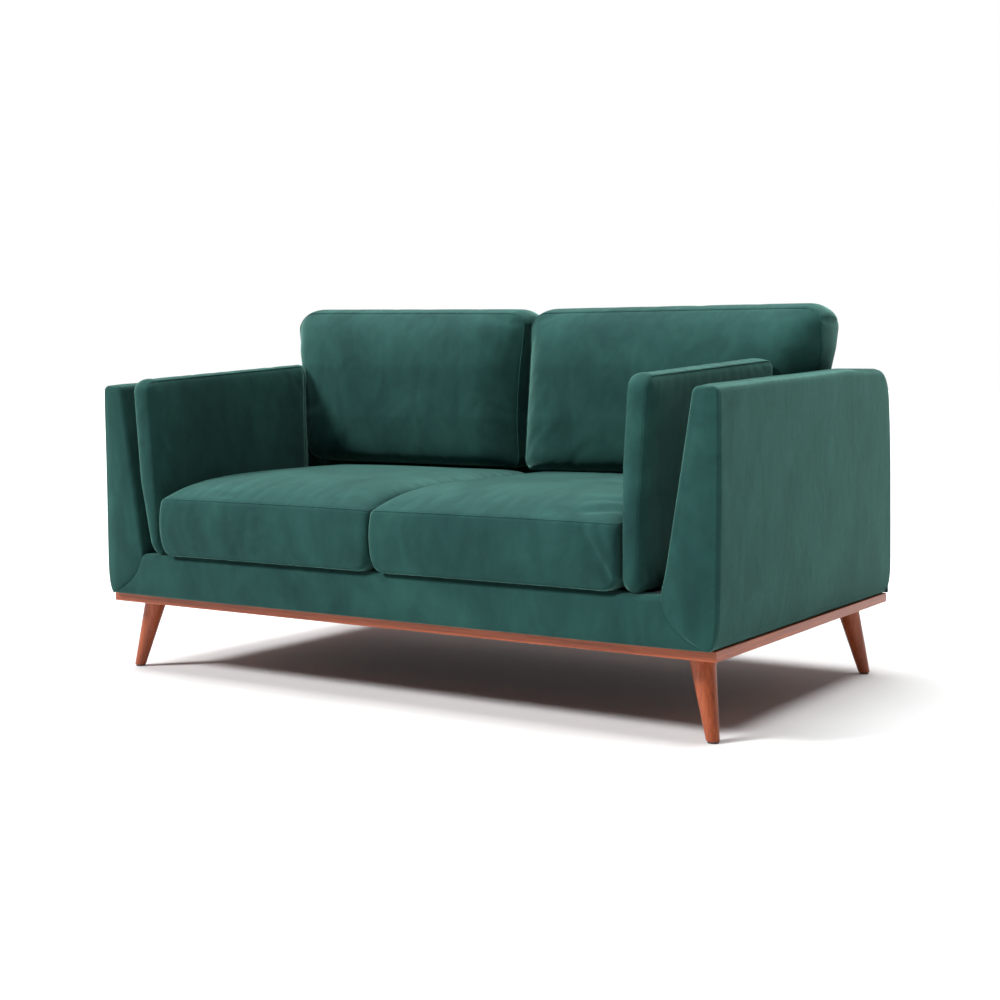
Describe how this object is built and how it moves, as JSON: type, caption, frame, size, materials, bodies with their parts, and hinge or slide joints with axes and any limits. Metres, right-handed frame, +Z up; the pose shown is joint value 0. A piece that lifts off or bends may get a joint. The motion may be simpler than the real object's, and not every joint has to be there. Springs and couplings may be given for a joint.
{
  "type": "two-seat sofa",
  "caption": "Two-seat velvet sofa with slim wedge arms, loose arm pads, loose boxed seat and back cushions, on an exposed wooden base with splayed tapered legs.",
  "frame": {"origin": "on the floor, in the middle of the overall width and depth", "axes": "+X to the right as seen from the front, -Y to the front where a person sits down, +Z up"},
  "size_m": [1.5, 0.92, 0.812],
  "materials": {
    "velvet": "matte",
    "finished_wood": "satin",
    "frame_timber": "matte",
    "plywood": "matte",
    "foam": "matte",
    "deck_cloth": "matte",
    "dust_cloth": "matte",
    "webbing": "matte",
    "zinc_steel": "satin",
    "nylon": "matte"
  },
  "bodies": {
    "root": {"arm_cover_left": "velvet", "arm_cover_right": "velvet", "arm_foam_left": "foam", "arm_foam_right": "foam", "arm_front_post_left": "frame_timber", "arm_front_post_right": "frame_timber", "arm_rear_post_left": "frame_timber", "arm_rear_post_right": "frame_timber", "arm_side_panel_left": "plywood", "arm_side_panel_right": "plywood", "arm_top_rail_left": "frame_timber", "arm_top_rail_right": "frame_timber", "back_cover": "velvet", "back_foam": "foam", "back_post_centre": "frame_timber", "back_post_left": "frame_timber", "back_post_right": "frame_timber", "back_rear_rail": "frame_timber", "back_top_rail": "frame_timber", "back_webbing": "webbing", "base_rail_front": "finished_wood", "base_rail_left": "finished_wood", "base_rail_rear": "finished_wood", "base_rail_right": "finished_wood", "base_screws": "zinc_steel", "deck_pad": "deck_cloth", "dust_cover": "dust_cloth", "foot_glides": "nylon", "frame_corner_blocks": "frame_timber", "frame_rail_centre": "frame_timber", "frame_rail_front": "frame_timber", "frame_rail_left": "frame_timber", "frame_rail_rear": "frame_timber", "frame_rail_right": "frame_timber", "frame_rail_spring": "frame_timber", "front_cover": "velvet", "front_foam": "foam", "leg_bolts": "zinc_steel", "leg_front_left": "finished_wood", "leg_front_right": "finished_wood", "leg_nuts": "zinc_steel", "leg_rear_left": "finished_wood", "leg_rear_right": "finished_wood", "outside_back_panel": "velvet", "seat_springs": "zinc_steel", "spring_clips": "zinc_steel"},
    "seat_cushion_left": {"seat_cushion_cover_left": "velvet", "seat_cushion_core_left": "foam"},
    "back_cushion_left": {"back_cushion_cover_left": "velvet", "back_cushion_core_left": "foam"},
    "arm_pad_left": {"arm_pad_cover_left": "velvet", "arm_pad_core_left": "foam"},
    "seat_cushion_right": {"seat_cushion_cover_right": "velvet", "seat_cushion_core_right": "foam"},
    "back_cushion_right": {"back_cushion_cover_right": "velvet", "back_cushion_core_right": "foam"},
    "arm_pad_right": {"arm_pad_cover_right": "velvet", "arm_pad_core_right": "foam"}
  },
  "joints": [
    {"name": "seat_cushion_left_pull", "type": "slide", "parent": "root", "child": "seat_cushion_left", "axis": [0, -1, 0], "range_m": [0, 0.68]},
    {"name": "seat_cushion_right_pull", "type": "slide", "parent": "root", "child": "seat_cushion_right", "axis": [0, -1, 0], "range_m": [0, 0.68]},
    {"name": "back_cushion_left_lift", "type": "slide", "parent": "root", "child": "back_cushion_left", "axis": [0, 0.2164, 0.9763], "range_m": [0, 0.4]},
    {"name": "back_cushion_right_lift", "type": "slide", "parent": "root", "child": "back_cushion_right", "axis": [0, 0.2164, 0.9763], "range_m": [0, 0.4]},
    {"name": "arm_pad_left_lift", "type": "slide", "parent": "root", "child": "arm_pad_left", "axis": [0, 0, 1], "range_m": [0, 0.45]},
    {"name": "arm_pad_right_lift", "type": "slide", "parent": "root", "child": "arm_pad_right", "axis": [0, 0, 1], "range_m": [0, 0.45]}
  ]
}
